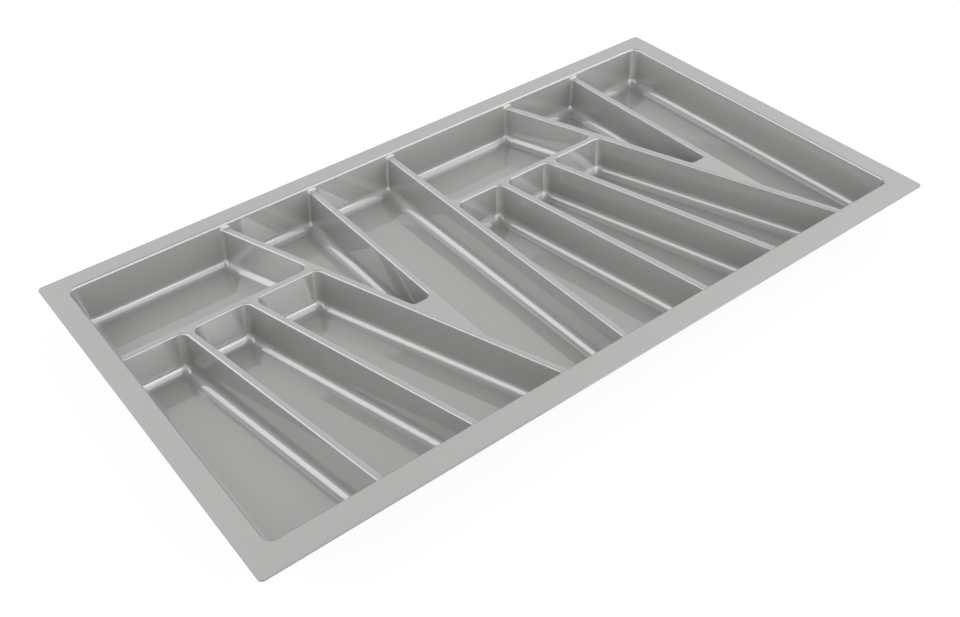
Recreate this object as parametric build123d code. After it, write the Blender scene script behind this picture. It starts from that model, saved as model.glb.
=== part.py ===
from build123d import *
import math
import os

# A drawer insert for cutlery, formed from one plastic sheet.
# X runs along the long side, Y to the back and Z up; the undersides of the floors are at zero.

# Sheet and outside
tray_width = 900.0
tray_depth = 488.0
tray_height = 55.0
sheet = 2.0
flange_corner_radius = 5.0

# Flat flange round the basin
side_flange = 25.0
front_flange = 31.0
back_flange = 23.0

# Walls and dividers
draft_angle = 8.0
deck_drop = 6.5
divider_width = 8.0

# Radii on the upper side
rim_radius = 3.2
divider_edge_radius = 2.0
floor_radius = 13.0
corner_radius = 6.0
seat_radius = 4.0

# Places of the divider centre lines in one module, as shares of its width and depth
cross_bar_share = 0.6993
wedge_front_share = 0.4182
straight_divider_share = 0.7282
diagonal_back_share = 0.4464
diagonal_front_share = 0.8068
fan_back_shares = (0.1725, 0.3478)
fan_front_shares = (0.2816, 0.5409)

# One overrun serves every cut and every divider that runs into a wall
overrun = 20.0
tolerance = 0.01

# Sizes that follow from the ones above
module_count = 2
basin_width = tray_width - 2 * side_flange
basin_depth = tray_depth - front_flange - back_flange
basin_left = -tray_width / 2 + side_flange
basin_right = tray_width / 2 - side_flange
basin_front = -tray_depth / 2 + front_flange
basin_back = tray_depth / 2 - back_flange
module_width = basin_width / module_count
inner_depth = tray_height - sheet
deck_height = tray_height - deck_drop
lean = math.tan(math.radians(draft_angle))
wall_run = sheet / math.cos(math.radians(draft_angle))
top_divider_width = divider_width - 2 * deck_drop * lean
split_height = (deck_height + sheet + floor_radius) / 2
round_run = math.tan(math.radians((90 - draft_angle) / 2))
form_reach = basin_width + basin_depth


def place(width_share, depth_share, module_left):
    """A point of a module on the plane of the flange top."""
    return (module_left + width_share * module_width, basin_front + depth_share * basin_depth)


def bar(start, end, width):
    """A straight divider of the given width along its centre line."""
    run = Vector(*end) - Vector(*start)
    middle = (Vector(*end) + Vector(*start)) * 0.5
    angle = math.degrees(math.atan2(run.Y, run.X))
    return Pos(middle.X, middle.Y) * Rot(0, 0, angle) * Rectangle(run.length, width)


def along(start, end, depth_share):
    """The point of a line between two points of the basin at a share of the basin's depth."""
    height = basin_front + depth_share * basin_depth
    part = (height - start[1]) / (end[1] - start[1])
    return (start[0] + part * (end[0] - start[0]), height)


def module_dividers(module, width):
    """The dividers of one module: a cross bar, a fan, a long diagonal and a straight one."""
    module_left = basin_left + module * module_width
    bar_reach = overrun if module == 0 else 0
    diagonal_back = place(diagonal_back_share, 1.0, module_left)
    diagonal_front = place(diagonal_front_share, 0.0, module_left)
    bar_start = place(0.0, cross_bar_share, module_left)
    bar_end = along(diagonal_back, diagonal_front, cross_bar_share)
    slope = (diagonal_front[0] - diagonal_back[0]) / (diagonal_front[1] - diagonal_back[1])
    straight_back = place(straight_divider_share, 1.0, module_left)
    straight_front = (straight_back[0], diagonal_back[1] + (straight_back[0] - diagonal_back[0]) / slope)
    shift = overrun * slope
    pieces = [
        bar((diagonal_back[0] + shift, diagonal_back[1] + overrun),
            (diagonal_front[0] - shift, diagonal_front[1] - overrun), width),
        bar((bar_start[0] - bar_reach, bar_start[1]), bar_end, width),
        bar((straight_back[0], straight_back[1] + overrun), straight_front, width),
    ]
    for back_share, front_share in zip(fan_back_shares, fan_front_shares):
        back = place(back_share, cross_bar_share, module_left)
        front = place(front_share, 0.0, module_left)
        part = overrun / (back[1] - front[1])
        beyond = (front[0] - part * (back[0] - front[0]), front[1] - overrun)
        pieces.append(bar(back, beyond, width))
    wedge_left = along(diagonal_back, diagonal_front, wedge_front_share)
    wedge_right = (straight_back[0], wedge_left[1])
    pieces.append(make_face(Polyline(wedge_left, wedge_right, straight_front, close=True)))
    return pieces


def pocket_outlines(divider, growth):
    """The outlines of all the pockets on the plane of the flange top."""
    middle = ((basin_left + basin_right) / 2, (basin_front + basin_back) / 2)
    outline = Pos(*middle) * Rectangle(basin_width + 2 * growth, basin_depth + 2 * growth)
    for module in range(module_count):
        module_left = basin_left + module * module_width
        for piece in module_dividers(module, divider):
            outline -= piece
        if module > 0:
            outline -= bar((module_left, basin_front - overrun), (module_left, basin_back + overrun), divider)
    return outline.faces()


def is_seat(point, growth):
    """True where a divider runs into a wall of the basin."""
    on_side = min(abs(point.X - basin_left + growth), abs(point.X - basin_right - growth)) < tolerance
    on_end = min(abs(point.Y - basin_front + growth), abs(point.Y - basin_back - growth)) < tolerance
    return on_side != on_end


def same_place(first, second):
    return abs(first.X - second.X) < tolerance and abs(first.Y - second.Y) < tolerance


def corner_edges(solid, corners, rise=0):
    """The edges that run down from the given corners, or from above them by the rise."""
    found = []
    for edge in solid.edges():
        low, high = sorted([edge @ 0, edge @ 1], key=lambda point: point.Z)
        on_top = high.Z > tray_height + rise - tolerance and low.Z < tray_height - tolerance
        if on_top and any(same_place(high, corner) for corner in corners):
            found.append(edge)
    return found


def drawn_in(corners, distance):
    """The corners of a counter-clockwise outline with each of its sides moved inwards."""
    following = corners[1:] + corners[:1]
    inward = [(end - start).normalized().rotate(Axis.Z, 90) for start, end in zip(corners, following)]
    moved = []
    for corner, before, after in zip(corners, inward[-1:] + inward[:-1], inward):
        moved.append(corner + (before + after) * (distance / (1 + before.dot(after))))
    return moved


def drafted_block(corners, depth, rise=0):
    """A block drawn in by the draft below the flange top, where its outline lies, and widened above it."""
    top = [corner + Vector(0, 0, tray_height + rise) for corner in drawn_in(corners, -rise * lean)]
    bottom = [corner + Vector(0, 0, tray_height - depth) for corner in drawn_in(corners, depth * lean)]
    faces = [Face(Wire.make_polygon(top)), Face(Wire.make_polygon(bottom))]
    for index in range(len(corners)):
        after = (index + 1) % len(corners)
        faces.append(Face(Wire.make_polygon([top[index], top[after], bottom[after], bottom[index]])))
    return Solid(Shell(faces))


def foot(start, end, depth):
    """The point at floor level below the middle of a wall's top."""
    return (start + end) * 0.5 + Vector(0, 0, tray_height - depth)


def wall_form(start, end, depth, floor_round):
    """A form far wider than a pocket, with one drafted wall and the floor rounded along it."""
    run = (end - start).normalized() * form_reach
    inward = run.rotate(Axis.Z, 90)
    body = drafted_block([start - run, end + run, end + run + inward, start - run + inward], depth)
    floor_edges = body.edges().group_by(Axis.Z)[0]
    return body.fillet(floor_round, floor_edges.sort_by_distance(foot(start, end, depth))[:1])


def corner_form(corner, before, after, depth, corner_round):
    """A form far wider than a pocket, with one drafted and rounded upright corner."""
    left = (before - corner).normalized() * form_reach
    right = (after - corner).normalized() * form_reach
    body = drafted_block([corner, corner + right, corner + right + left, corner + left], depth)
    return body.fillet(corner_round, corner_edges(body, [corner]))


def trough(left_form, right_form, end_foot, valley_round):
    """Two wall forms that cross over a narrow floor, with a round valley where their floors meet."""
    body = (left_form & right_form).solids()[0]
    return body.fillet(valley_round, body.edges().sort_by_distance(end_foot)[:1])


def pocket_corners(outline):
    """The corners of an outline, counter-clockwise."""
    corners = [Vector(vertex.X, vertex.Y) for vertex in outline.vertices()]
    following = corners[1:] + corners[:1]
    area = sum(start.X * end.Y - end.X * start.Y for start, end in zip(corners, following))
    return corners if area > 0 else corners[::-1]


def pocket(outline, growth, depth, floor_round, corner_round, seat_round):
    """The space that one form for each wall and one for each upright corner have in common."""
    corners = pocket_corners(outline)
    following = corners[1:] + corners[:1]
    preceding = corners[-1:] + corners[:-1]
    walls = [wall_form(start, end, depth, floor_round) for start, end in zip(corners, following)]
    widths = [(end - start).length for start, end in zip(corners, following)]
    narrow = widths.index(min(widths))
    if widths[narrow] < 2 * (floor_round * round_run + depth * lean):
        # The floor of a narrow end has no flat left between the rounds of its two long walls
        end_foot = foot(corners[narrow], following[narrow], depth)
        opposite = (narrow + 1) % len(walls)
        walls[narrow - 1] = trough(walls[narrow - 1], walls[opposite], end_foot, corner_round)
        walls.pop(opposite)
    uprights = []
    for corner, before, after in zip(corners, preceding, following):
        radius = seat_round if is_seat(corner, growth) else corner_round
        uprights.append(corner_form(corner, before, after, depth, radius))
    body = drafted_block(corners, depth)
    for form in uprights + walls:
        body = (body & form).solids()[0]
    return body


def recess(growth, depth, rise, corner_round):
    """The shallow top of the basin, above the dividers."""
    corners = [
        Vector(basin_left - growth, basin_front - growth),
        Vector(basin_right + growth, basin_front - growth),
        Vector(basin_right + growth, basin_back + growth),
        Vector(basin_left - growth, basin_back + growth),
    ]
    block = drafted_block(corners, depth, rise)
    return block.fillet(corner_round, corner_edges(block, drawn_in(corners, -rise * lean), rise))


def edges_at(solid, height):
    """The edges that lie on one level."""
    found = []
    for edge in solid.edges():
        if max(abs((edge @ 0).Z - height), abs((edge @ 1).Z - height)) < tolerance:
            found.append(edge)
    return found


def on_wall(edge):
    """True for an edge at deck level that lies along a wall of the basin."""
    inset = deck_drop * lean
    point = edge.center()
    gap_x = min(abs(point.X - basin_left - inset), abs(point.X - basin_right + inset))
    gap_y = min(abs(point.Y - basin_front - inset), abs(point.Y - basin_back + inset))
    return min(gap_x, gap_y) < tolerance


def layer(low, high):
    """A slab as wide as the tray between two heights."""
    middle = Pos(0, 0, (low + high) / 2)
    return middle * Box(tray_width, tray_depth, high - low)


def divider_space():
    """The space over and beside the upper part of the dividers, with their edges and ends rounded."""
    blocks = []
    for outline in pocket_outlines(top_divider_width, 0):
        corners = pocket_corners(outline)
        block = drafted_block(corners, tray_height - split_height)
        free = [corner for corner in corners if not is_seat(corner, 0)]
        blocks.append(block.fillet(corner_radius, corner_edges(block, free)))
    space = recess(0, deck_drop, overrun, corner_radius).fuse(*blocks).solids()[0]
    free_edges = [edge for edge in edges_at(space, deck_height) if not on_wall(edge)]
    space = space.fillet(divider_edge_radius, free_edges)
    end_edges = [edge for edge in edges_at(space, deck_height) if on_wall(edge)]
    return space.fillet(seat_radius, end_edges)


def inside_space():
    """The space over the sheet: the dividers shape its upper part, and the rounded floors its lower one."""
    lower = []
    for outline in pocket_outlines(top_divider_width, 0):
        form = pocket(outline, 0, inner_depth, floor_radius, corner_radius, seat_radius)
        lower += (form & layer(0, split_height)).solids()
    return divider_space().fuse(*lower).solids()[0]


def outside_form():
    """The flange with the basin and the pockets as they stand out under it."""
    divider = top_divider_width - 2 * wall_run
    outlines = pocket_outlines(divider, wall_run)
    pockets = []
    for outline in outlines:
        pockets.append(pocket(outline, wall_run, tray_height, floor_radius + sheet,
                              corner_radius + sheet, seat_radius + sheet))
    plate = Pos(0, 0, tray_height) * RectangleRounded(tray_width, tray_depth, flange_corner_radius)
    flange = extrude(plate, amount=-sheet)
    basin = recess(wall_run, deck_drop + sheet, 0, corner_radius + sheet)
    return flange.fuse(basin, *pockets).solids()[0]


def rim_edges(solid, height, growth):
    """The edges round the mouth of the basin at one level."""
    found = []
    for edge in edges_at(solid, height):
        point = edge.center()
        in_width = basin_left - growth - tolerance < point.X < basin_right + growth + tolerance
        in_depth = basin_front - growth - tolerance < point.Y < basin_back + growth + tolerance
        if in_width and in_depth:
            found.append(edge)
    return found


def tray():
    """The formed sheet."""
    shell = (outside_form() - inside_space()).solids()[0]
    shell = shell.fillet(rim_radius, rim_edges(shell, tray_height, 0))
    return shell.fillet(rim_radius - sheet, rim_edges(shell, tray_height - sheet, wall_run))


os.makedirs("parts", exist_ok=True)
export_step(tray(), "parts/tray.step")
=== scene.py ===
import math

import bmesh
import bpy
from mathutils import Matrix, Vector


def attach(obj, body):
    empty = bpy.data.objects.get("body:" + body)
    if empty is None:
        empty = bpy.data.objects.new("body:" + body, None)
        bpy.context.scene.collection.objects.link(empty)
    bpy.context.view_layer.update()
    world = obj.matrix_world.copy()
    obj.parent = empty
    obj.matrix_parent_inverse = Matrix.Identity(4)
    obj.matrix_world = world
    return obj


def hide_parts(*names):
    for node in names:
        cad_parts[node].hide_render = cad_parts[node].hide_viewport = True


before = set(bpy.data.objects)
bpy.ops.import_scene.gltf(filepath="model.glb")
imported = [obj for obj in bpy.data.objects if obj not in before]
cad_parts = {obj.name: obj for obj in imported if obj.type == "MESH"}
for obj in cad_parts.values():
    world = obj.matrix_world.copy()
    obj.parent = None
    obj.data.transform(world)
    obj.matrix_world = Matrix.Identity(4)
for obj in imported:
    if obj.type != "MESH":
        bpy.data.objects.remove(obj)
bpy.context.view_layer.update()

MM = 0.001

# Camera, as the photograph was taken
CAMERA_PLACE = Vector((-634.576, -800.585, 832.444)) * MM
CAMERA_RIGHT = Vector((0.78773714, -0.6157006, -0.01956967))
CAMERA_UP = Vector((0.41582596, 0.50803904, 0.75431101))
CAMERA_LENS = 42.1165
SENSOR_WIDTH = 36.0
CLIP_START, CLIP_END = 0.01, 50.0

# Studio lights: bearing from +X and height angle in degrees, distance, width and height in metres, and watts
LIGHTS = {
    "front_softbox": (-56.0, 40.0, 2.2, 2.6, 2.6, 27.0),
    "low_front_softbox": (-58.0, 12.0, 2.2, 2.8, 1.3, 24.0),
    "camera_side_softbox": (-120.0, 24.0, 2.2, 3.2, 1.8, 20.0),
    "side_softbox": (155.0, 21.0, 2.2, 3.4, 2.7, 62.0),
    "back_softbox": (40.0, 42.0, 2.5, 5.0, 2.8, 32.0),
}
WORLD_LEVEL = 0.3
WHITE = (1.0, 1.0, 1.0, 1.0)

# Studio floor: its paint, the share of it seen as pure white, and its size and depth under the tray in metres
STUDIO_FLOOR_COLOUR = (0.95, 0.95, 0.95, 1.0)
STUDIO_FLOOR_ROUGHNESS = 0.9
STUDIO_FLOOR_WHITE = 0.9
STUDIO_FLOOR_SIZE = 20.0
STUDIO_FLOOR_DROP = 0.0005

# The plastic: fine metallic pigment under a clear glossy skin
PIGMENT_COLOUR = (0.39, 0.388, 0.381, 1.0)
PIGMENT_METALLIC = 0.8
PIGMENT_ROUGHNESS = (0.53, 0.59)
SKIN_IOR = 2.0
SKIN_ROUGHNESS = 0.02

# Patterns in the plastic: cells in a metre, how far they shade the colour, and how deep they are in metres
CLOUDS, CLOUD_DETAIL, CLOUD_SHADE = 9.0, 2.0, 0.012
FLAKES, FLAKE_SHADE, FLAKE_DEPTH = 2200.0, 0.03, 0.000002
WAVES, WAVE_DEPTH = 45.0, 0.00003
NOISE_LOW, NOISE_HIGH = 0.3, 0.7

# Sizes of the sheet in millimetres, as the solid has them
TRAY_WIDTH = 900.0
TRAY_DEPTH = 488.0
TRAY_TOP = 55.0
SHEET = 2.0
MOUTH_LEFT, MOUTH_RIGHT = -425.0, 425.0
MOUTH_FRONT, MOUTH_BACK = -213.0, 221.0
DECK = 48.5
DRAFT = math.radians(8.0)
DIVIDER_WIDTH = 8.0

# Divider centre lines: the middle one, and those of one half from the half's left side
CENTRE = ((0.0, MOUTH_FRONT), (0.0, MOUTH_BACK))
HALF_LEFTS = (MOUTH_LEFT, 0.0)
HALF_POCKETS = 6
CROSS_BAR_Y = 90.496
CROSS_BAR = ((0.0, CROSS_BAR_Y), (MOUTH_RIGHT, CROSS_BAR_Y))
DIAGONAL = ((189.72, MOUTH_BACK), (342.89, MOUTH_FRONT))
LEFT_FAN = ((73.3125, CROSS_BAR_Y), (119.68, MOUTH_FRONT))
RIGHT_FAN = ((147.815, CROSS_BAR_Y), (229.8825, MOUTH_FRONT))
STRAIGHT = ((309.485, MOUTH_BACK), (309.485, MOUTH_FRONT))
WEDGE_FRONT = -31.499

# Radii on the upper side, and how many strips each one has. The tip is the wedge's narrow end
FLANGE_CORNER, FLANGE_CORNER_STRIPS = 5.0, 6
UPRIGHT, TIP, UPRIGHT_STRIPS = 9.5, 6.0, 12
SEAT, SEAT_STRIPS = 3.7, 8
DECK_EDGE, DECK_EDGE_STRIPS = 2.0, 6
RIM, RIM_STRIPS = 3.2, 8
FLOOR_ROUND, FLOOR_STRIPS = 13.0, 14

# How far a wedge's floor round has come in when the corners of its narrow end stop shrinking
WEDGE_PINCH = 6.0

# Slack for telling parts of the sheet apart, in millimetres and radians
NEAR = 0.02
CUT_SLACK = 0.0001
FLAT_ANGLE = 0.01
FOLD_ANGLE = 0.5

# What follows from the sizes: the run of a leaning wall and of a round, and the levels of floor and round
LEAN = math.tan(DRAFT)
ROUND_RUN = math.tan((math.pi / 2 - DRAFT) / 2)
FLOOR = SHEET
ROUND_TOP = FLOOR + FLOOR_ROUND * (1 - math.sin(DRAFT))


def cut(blank, face, start, end, aside=0.0):
    """Splits a face along a line, moved aside to its right, and gives the parts left and right of it."""
    run = (Vector((*end, 0)) - Vector((*start, 0))).normalized()
    right = Vector((run.y, -run.x, 0))
    place = Vector((*start, face.verts[0].co.z)) + right * aside
    geometry = [face, *face.edges, *face.verts]
    result = bmesh.ops.bisect_plane(blank, geom=geometry, plane_co=place, plane_no=right, dist=CUT_SLACK)
    faces = [item for item in result["geom"] if isinstance(item, bmesh.types.BMFace)]
    faces.sort(key=lambda part: (part.calc_center_median() - place).dot(right))
    return faces[0], faces[-1]


def divide(blank, face, line, shift=0.0):
    """Marks a divider across a face and gives the faces left and right of it, seen along its line."""
    start, end = [(point[0] + shift, point[1]) for point in line]
    left, rest = cut(blank, face, start, end, -DIVIDER_WIDTH / 2)
    right = cut(blank, rest, start, end, DIVIDER_WIDTH / 2)[1]
    return left, right


def half_pockets(blank, face, shift):
    """Marks the dividers of one half on its face and gives the faces of its pockets, the wedge first."""
    right, left = divide(blank, face, DIAGONAL, shift)
    back_left, front = divide(blank, left, CROSS_BAR, shift)
    rest, front_left = divide(blank, front, LEFT_FAN, shift)
    front_right, front_middle = divide(blank, rest, RIGHT_FAN, shift)
    long_right, beside = divide(blank, right, STRAIGHT, shift)
    wedge_front = WEDGE_FRONT + (TRAY_TOP - DECK) * LEAN
    wedge = cut(blank, beside, (0, wedge_front), (1, wedge_front))[0]
    return [wedge, back_left, front_left, front_middle, front_right, long_right]


def in_mouth(face):
    """True for a face inside the basin's mouth."""
    return all(MOUTH_LEFT - NEAR < vert.co.x < MOUTH_RIGHT + NEAR
               and MOUTH_FRONT - NEAR < vert.co.y < MOUTH_BACK + NEAR for vert in face.verts)


def in_quarter(face, x_side, y_side):
    """True for a face in one quarter of the tray, named by the signs of x and y there."""
    centre = face.calc_center_median()
    return centre.x * x_side > 0 and centre.y * y_side > 0


def join(blank, faces):
    bmesh.ops.dissolve_faces(blank, faces=faces, use_verts=False)


def at_level(edge, height):
    return all(abs(vert.co.z - height) < NEAR for vert in edge.verts)


def is_flat(edge):
    return len(edge.link_faces) == 2 and edge.calc_face_angle() < FLAT_ANGLE


def is_fold(edge):
    return len(edge.link_faces) == 2 and edge.calc_face_angle() > FOLD_ANGLE


def wall_gaps(point):
    """How far a point lies from each of the basin's walls."""
    inset = (TRAY_TOP - point.z) * LEAN
    return (abs(point.x - MOUTH_LEFT - inset), abs(point.x - MOUTH_RIGHT + inset),
            abs(point.y - MOUTH_FRONT - inset), abs(point.y - MOUTH_BACK + inset))


def walls_touched(point):
    """How many walls of the basin a point lies on: two in a corner of the basin."""
    return sum(gap < NEAR for gap in wall_gaps(point))


def on_one_wall(edge):
    """True where both ends of an edge lie on the same wall of the basin."""
    start, end = edge.verts
    return any(max(gaps) < NEAR for gaps in zip(wall_gaps(start.co), wall_gaps(end.co)))


def inward_normals(corners):
    """The inward normals of an outline's sides, the side after each corner."""
    following = corners[1:] + corners[:1]
    area = sum(start.x * end.y - end.x * start.y for start, end in zip(corners, following))
    turn = 1 if area > 0 else -1
    normals = []
    for start, end in zip(corners, following):
        run = (end - start).normalized()
        normals.append(Vector((-run.y, run.x, 0)) * turn)
    return normals


def mitre(before, after):
    """How far a corner moves for each millimetre that both its sides move in."""
    return (before + after) / (1 + before.dot(after))


def narrow_end(index, corners):
    """The two corners at the shortest side of a wedge, the first pocket of its half. Others have none."""
    if index % HALF_POCKETS:
        return ()
    sides = [(end - start).length for start, end in zip(corners, corners[1:] + corners[:1])]
    short = sides.index(min(sides))
    return short, (short + 1) % len(corners)


def bevel(blank, edges, offset, strips):
    bmesh.ops.bevel(blank, geom=edges, offset=offset, offset_type="OFFSET", segments=strips, profile=0.5,
                    affect="EDGES", clamp_overlap=False, loop_slide=True, material=-1)
    blank.normal_update()


def flat_blank():
    """The flat blank with rounded corners: the basin's mouth as one face and the flange around it as four."""
    blank = bmesh.new()
    tray = Matrix.Diagonal((TRAY_WIDTH, TRAY_DEPTH, 1, 1))
    bmesh.ops.create_grid(blank, x_segments=1, y_segments=1, size=0.5,
                          matrix=Matrix.Translation((0, 0, TRAY_TOP)) @ tray)
    corners = list(blank.verts)
    cuts = [((x, 0, 0), (1, 0, 0)) for x in (MOUTH_LEFT, MOUTH_RIGHT, 0)]
    cuts += [((0, y, 0), (0, 1, 0)) for y in (MOUTH_FRONT, MOUTH_BACK, 0)]
    for place, normal in cuts:
        geometry = [*blank.verts, *blank.edges, *blank.faces]
        bmesh.ops.bisect_plane(blank, geom=geometry, plane_co=place, plane_no=normal, dist=CUT_SLACK)
    bmesh.ops.bevel(blank, geom=corners, offset=FLANGE_CORNER, offset_type="OFFSET",
                    segments=FLANGE_CORNER_STRIPS, profile=0.5, affect="VERTICES", material=-1)
    for y_side in (-1, 1):
        for x_side in (-1, 1):
            join(blank, [face for face in blank.faces
                         if not in_mouth(face) and in_quarter(face, x_side, y_side)])
    join(blank, [face for face in blank.faces if in_mouth(face)])
    return blank


def sink_deck(blank):
    """Sinks the basin's mouth to the level of the dividers' tops and gives the face there."""
    deck = next(face for face in blank.faces if in_mouth(face))
    walls = bmesh.ops.inset_individual(blank, faces=[deck], thickness=(TRAY_TOP - DECK) * LEAN,
                                       depth=DECK - TRAY_TOP, use_even_offset=True)["faces"]
    blank.normal_update()
    seams = [edge for edge in blank.edges if is_flat(edge) and all(face in walls for face in edge.link_faces)]
    bmesh.ops.dissolve_edges(blank, edges=seams, use_verts=True)
    return deck


def open_pockets(blank, deck):
    """Marks the pockets on the deck, sinks their walls to the floors' rounds and gives the outlines there."""
    pockets = []
    for half, shift in zip(divide(blank, deck, CENTRE), HALF_LEFTS):
        pockets += half_pockets(blank, half, shift)
    join(blank, [face for face in blank.faces
                 if face not in pockets and abs(face.calc_center_median().z - DECK) < NEAR])
    bmesh.ops.inset_individual(blank, faces=pockets, thickness=(DECK - ROUND_TOP) * LEAN,
                               depth=ROUND_TOP - DECK, use_even_offset=True)
    outlines = [[vert.co.copy() for vert in pocket.verts] for pocket in pockets]
    bmesh.ops.delete(blank, geom=pockets, context="FACES_ONLY")
    blank.normal_update()
    seams = [edge for edge in blank.edges if at_level(edge, DECK) and on_one_wall(edge) and is_flat(edge)]
    bmesh.ops.dissolve_edges(blank, edges=seams, use_verts=True)
    return outlines


def round_uprights(blank, outlines):
    """Rounds the upright corners of the pockets that no divider end is in."""
    for place, corners in enumerate(outlines):
        normals = inward_normals(corners)
        tip = narrow_end(place, corners)
        for index, corner in enumerate(corners):
            if walls_touched(corner) == 1:
                continue
            radius = TIP if index in tip else UPRIGHT
            turn = normals[index - 1].angle(normals[index])
            upright = [edge for edge in blank.edges
                       if abs(edge.verts[0].co.z - edge.verts[1].co.z) > NEAR
                       and min((vert.co - corner).length for vert in edge.verts) < NEAR]
            bevel(blank, upright, radius * math.tan(turn / 2), UPRIGHT_STRIPS)


def round_folds(blank):
    """Rounds the dividers' upper edges, their seats on the basin's walls, and the basin's rim."""
    blank.normal_update()
    brinks = [edge for edge in blank.edges
              if at_level(edge, DECK) and not on_one_wall(edge) and is_fold(edge)]
    bevel(blank, brinks, DECK_EDGE * ROUND_RUN, DECK_EDGE_STRIPS)
    seats = [edge for edge in blank.edges if on_one_wall(edge) and is_fold(edge)
             and all(vert.co.z < TRAY_TOP - NEAR for vert in edge.verts)]
    bevel(blank, seats, SEAT, SEAT_STRIPS)
    rim = [edge for edge in blank.edges if at_level(edge, TRAY_TOP) and is_fold(edge)]
    bevel(blank, rim, RIM * ROUND_RUN, RIM_STRIPS)


def nearest_outline(edge, outlines):
    """Which pocket an edge belongs to: the one with a corner nearest to either end."""
    def gap(index):
        return min((vert.co - corner).length for vert in edge.verts for corner in outlines[index])

    return min(range(len(outlines)), key=gap)


def group_by_corner(verts, places):
    """Sorts points into one group for each corner, by the corner they are nearest to in plan."""
    groups = [[] for _ in places]
    for vert in verts:
        point = vert.co.xy.to_3d()
        nearest = min(range(len(places)), key=lambda index: (places[index] - point).length)
        groups[nearest].append(vert)
    return groups


def floor_round_steps():
    """For each strip of a floor's round: how far a corner goes in and down, and how far the corners of a
    wedge's narrow end go in and what share of their radius is left."""
    inset, height, radius = 0.0, ROUND_TOP, TIP
    for strip in range(1, FLOOR_STRIPS + 1):
        angle = DRAFT + (math.pi / 2 - DRAFT) * strip / FLOOR_STRIPS
        next_inset = FLOOR_ROUND * (math.cos(DRAFT) - math.cos(angle))
        next_height = FLOOR + FLOOR_ROUND * (1 - math.sin(angle))
        pinch = min(next_inset, WEDGE_PINCH)
        next_radius = TIP - pinch + pinch * pinch / (2 * WEDGE_PINCH)
        inward = next_inset - inset
        yield inward, next_height - height, inward + next_radius - radius, next_radius / radius
        inset, height, radius = next_inset, next_height, next_radius


def sink_floor(blank, corners, loop, tip):
    """Draws a pocket's open lower edge down and in, corner by corner, to its floor. The tip is the two
    corners of a narrow end."""
    normals = inward_normals(corners)
    ways = [mitre(normals[index - 1], normals[index]) for index in range(len(corners))]
    tip_way = mitre(normals[tip[0] - 1], normals[tip[1]]) if tip else None
    places = [corner.xy.to_3d() for corner in corners]
    for inward, down, tip_inward, tip_share in floor_round_steps():
        made = bmesh.ops.extrude_edge_only(blank, edges=loop)["geom"]
        verts = [item for item in made if isinstance(item, bmesh.types.BMVert)]
        loop = [item for item in made if isinstance(item, bmesh.types.BMEdge)]
        for index, group in enumerate(group_by_corner(verts, places)):
            move = ways[index] * inward
            if index in tip:
                about_centre = Matrix.Translation(-places[index] - ways[index] * TIP)
                bmesh.ops.scale(blank, verts=group, vec=(tip_share, tip_share, 1), space=about_centre)
                move = tip_way * tip_inward
            bmesh.ops.translate(blank, verts=group, vec=move + Vector((0, 0, down)))
            places[index] += move
    bmesh.ops.contextual_create(blank, geom=loop)


def formed_sheet():
    """The upper side of the formed sheet, from one flat blank."""
    blank = flat_blank()
    deck = sink_deck(blank)
    outlines = open_pockets(blank, deck)
    round_uprights(blank, outlines)
    round_folds(blank)
    loops = [[] for _ in outlines]
    for edge in blank.edges:
        if at_level(edge, ROUND_TOP) and edge.is_boundary:
            loops[nearest_outline(edge, outlines)].append(edge)
    for index, (corners, loop) in enumerate(zip(outlines, loops)):
        sink_floor(blank, corners, loop, narrow_end(index, corners))
    bmesh.ops.recalc_face_normals(blank, faces=blank.faces)
    return blank


def make_tray():
    """The formed sheet that stands for the solid: its upper side, thickened downwards."""
    blank = formed_sheet()
    bmesh.ops.scale(blank, verts=blank.verts, vec=(MM, MM, MM))
    mesh = bpy.data.meshes.new("formed_sheet")
    blank.to_mesh(mesh)
    blank.free()
    for face in mesh.polygons:
        face.use_smooth = True
    mesh.materials.append(plastic_material())
    tray = bpy.data.objects.new("formed_sheet", mesh)
    bpy.context.scene.collection.objects.link(tray)
    thickness = tray.modifiers.new("sheet thickness", "SOLIDIFY")
    thickness.thickness = SHEET * MM
    thickness.offset = -1.0
    thickness.use_even_offset = True
    shading = tray.modifiers.new("flat faces stay flat", "WEIGHTED_NORMAL")
    shading.mode = "FACE_AREA"
    shading.keep_sharp = True
    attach(tray, "root")
    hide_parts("tray")


def make_camera():
    data = bpy.data.cameras.new("camera")
    data.sensor_width = SENSOR_WIDTH
    data.lens = CAMERA_LENS
    data.clip_start = CLIP_START
    data.clip_end = CLIP_END
    camera = bpy.data.objects.new("camera", data)
    bpy.context.scene.collection.objects.link(camera)
    back = CAMERA_RIGHT.cross(CAMERA_UP).normalized()
    up = back.cross(CAMERA_RIGHT).normalized()
    turn = Matrix((CAMERA_RIGHT.normalized(), up, back)).transposed()
    camera.matrix_world = Matrix.Translation(CAMERA_PLACE) @ turn.to_4x4()
    bpy.context.scene.camera = camera


def softbox(name, bearing, height_angle, distance, width, height, power):
    """A soft light that faces the tray and isn't seen itself."""
    data = bpy.data.lights.new(name, "AREA")
    data.shape = "RECTANGLE"
    data.size = width
    data.size_y = height
    data.energy = power
    light = bpy.data.objects.new(name, data)
    light.visible_camera = False
    bpy.context.scene.collection.objects.link(light)
    turn = math.radians(bearing)
    rise = math.radians(height_angle)
    away = Vector((math.cos(turn) * math.cos(rise), math.sin(turn) * math.cos(rise), math.sin(rise)))
    light.location = away * distance
    light.rotation_euler = away.to_track_quat("Z", "Y").to_euler()


def noise(tree, places, scale, detail=1.0):
    """A noise pattern fixed to the piece; its scale counts cells in a metre."""
    texture = tree.nodes.new("ShaderNodeTexNoise")
    texture.inputs["Scale"].default_value = scale
    texture.inputs["Detail"].default_value = detail
    tree.links.new(places.outputs["Object"], texture.inputs["Vector"])
    return texture.outputs["Fac"]


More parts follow.
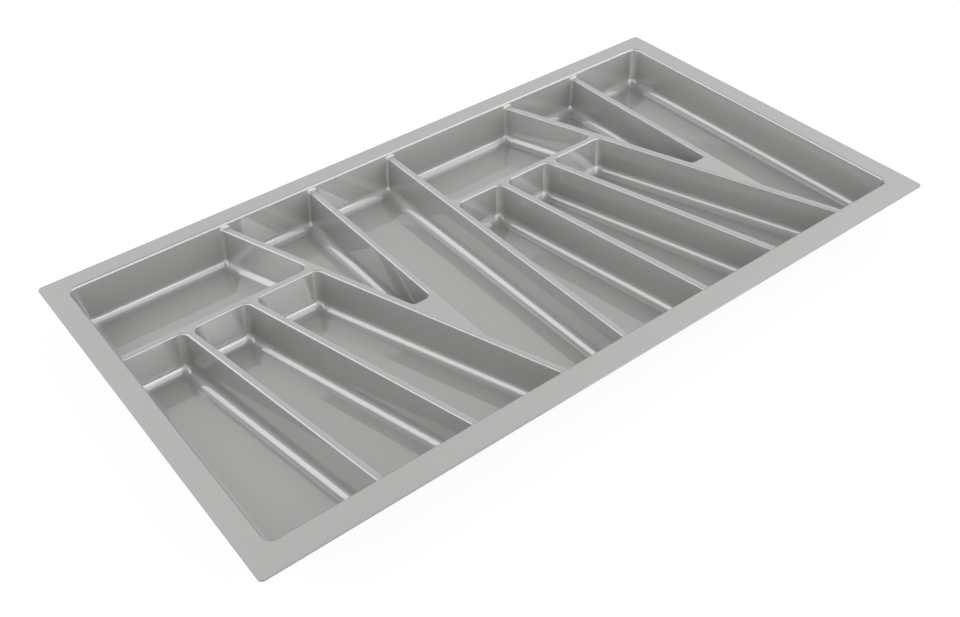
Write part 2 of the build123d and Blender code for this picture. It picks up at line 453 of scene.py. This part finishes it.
def spread(tree, pattern, low, high):
    """Turns a pattern into values between two bounds."""
    bounds = tree.nodes.new("ShaderNodeMapRange")
    bounds.inputs["From Min"].default_value = NOISE_LOW
    bounds.inputs["From Max"].default_value = NOISE_HIGH
    bounds.inputs["To Min"].default_value = low
    bounds.inputs["To Max"].default_value = high
    tree.links.new(pattern, bounds.inputs["Value"])
    return bounds.outputs["Result"]


def combine(tree, operation, *values):
    """Joins patterns and numbers by a named operation, such as ADD."""
    node = tree.nodes.new("ShaderNodeMath")
    node.operation = operation
    for socket, value in zip(node.inputs, values):
        if isinstance(value, float):
            socket.default_value = value
        else:
            tree.links.new(value, socket)
    return node.outputs[0]


def ripple(tree, pattern, depth, under=None):
    """A bump as deep as given in metres, on top of another one where there is one."""
    bump = tree.nodes.new("ShaderNodeBump")
    bump.inputs["Strength"].default_value = 1.0
    bump.inputs["Distance"].default_value = depth
    tree.links.new(pattern, bump.inputs["Height"])
    if under:
        tree.links.new(under, bump.inputs["Normal"])
    return bump.outputs["Normal"]


def new_material(name):
    """A new material and its node tree and main shader."""
    material = bpy.data.materials.new(name)
    material.use_nodes = True
    return material, material.node_tree, material.node_tree.nodes["Principled BSDF"]


def plastic_material():
    """Silver-grey plastic: fine metallic pigment under a clear glossy skin."""
    material, tree, shader = new_material("silver_grey_plastic")
    shader.inputs["Metallic"].default_value = PIGMENT_METALLIC
    shader.inputs["Coat Weight"].default_value = 1.0
    shader.inputs["Coat IOR"].default_value = SKIN_IOR
    shader.inputs["Coat Roughness"].default_value = SKIN_ROUGHNESS
    places = tree.nodes.new("ShaderNodeTexCoord")
    clouds = noise(tree, places, CLOUDS, CLOUD_DETAIL)
    flakes = noise(tree, places, FLAKES)
    waves = noise(tree, places, WAVES)
    shade = combine(tree, "ADD", spread(tree, clouds, -CLOUD_SHADE, CLOUD_SHADE),
                    spread(tree, flakes, -FLAKE_SHADE, FLAKE_SHADE))
    colour = tree.nodes.new("ShaderNodeMix")
    colour.data_type = "RGBA"
    colour.blend_type = "MULTIPLY"
    colour.inputs["Factor"].default_value = 1.0
    colour.inputs["A"].default_value = PIGMENT_COLOUR
    tree.links.new(combine(tree, "ADD", shade, 1.0), colour.inputs["B"])
    tree.links.new(colour.outputs["Result"], shader.inputs["Base Color"])
    tree.links.new(spread(tree, flakes, *PIGMENT_ROUGHNESS), shader.inputs["Roughness"])
    skin = ripple(tree, waves, WAVE_DEPTH)
    tree.links.new(skin, shader.inputs["Coat Normal"])
    tree.links.new(ripple(tree, flakes, FLAKE_DEPTH, skin), shader.inputs["Normal"])
    return material


def floor_material():
    """Pale paint with white over it for the camera and for clear reflections, thin enough to show shadows."""
    material, tree, shader = new_material("studio_floor")
    shader.inputs["Base Color"].default_value = STUDIO_FLOOR_COLOUR
    shader.inputs["Roughness"].default_value = STUDIO_FLOOR_ROUGHNESS
    rays = tree.nodes.new("ShaderNodeLightPath").outputs
    seen = combine(tree, "MAXIMUM", combine(tree, "MAXIMUM", rays["Is Camera Ray"], rays["Is Glossy Ray"]),
                   rays["Is Transmission Ray"])
    white = tree.nodes.new("ShaderNodeEmission")
    white.inputs["Color"].default_value = WHITE
    white.inputs["Strength"].default_value = 1.0
    mix = tree.nodes.new("ShaderNodeMixShader")
    tree.links.new(combine(tree, "MULTIPLY", seen, STUDIO_FLOOR_WHITE), mix.inputs[0])
    tree.links.new(shader.outputs[0], mix.inputs[1])
    tree.links.new(white.outputs[0], mix.inputs[2])
    tree.links.new(mix.outputs[0], tree.nodes["Material Output"].inputs["Surface"])
    return material


def make_floor():
    bpy.ops.mesh.primitive_plane_add(size=STUDIO_FLOOR_SIZE, location=(0, 0, -STUDIO_FLOOR_DROP))
    floor = bpy.context.object
    floor.name = "studio_floor"
    floor.data.materials.append(floor_material())


def make_world():
    """Even studio light, with white where the camera sees past the floor."""
    world = bpy.data.worlds.new("studio")
    bpy.context.scene.world = world
    world.use_nodes = True
    tree = world.node_tree
    lit = tree.nodes["Background"]
    lit.inputs["Color"].default_value = WHITE
    lit.inputs["Strength"].default_value = WORLD_LEVEL
    white = tree.nodes.new("ShaderNodeBackground")
    white.inputs["Color"].default_value = WHITE
    mix = tree.nodes.new("ShaderNodeMixShader")
    tree.links.new(tree.nodes.new("ShaderNodeLightPath").outputs["Is Camera Ray"], mix.inputs[0])
    tree.links.new(lit.outputs[0], mix.inputs[1])
    tree.links.new(white.outputs[0], mix.inputs[2])
    tree.links.new(mix.outputs[0], tree.nodes["World Output"].inputs["Surface"])


make_camera()
make_floor()
make_tray()
for name, light in LIGHTS.items():
    softbox(name, *light)
make_world()
bpy.context.scene.view_settings.view_transform = "Standard"
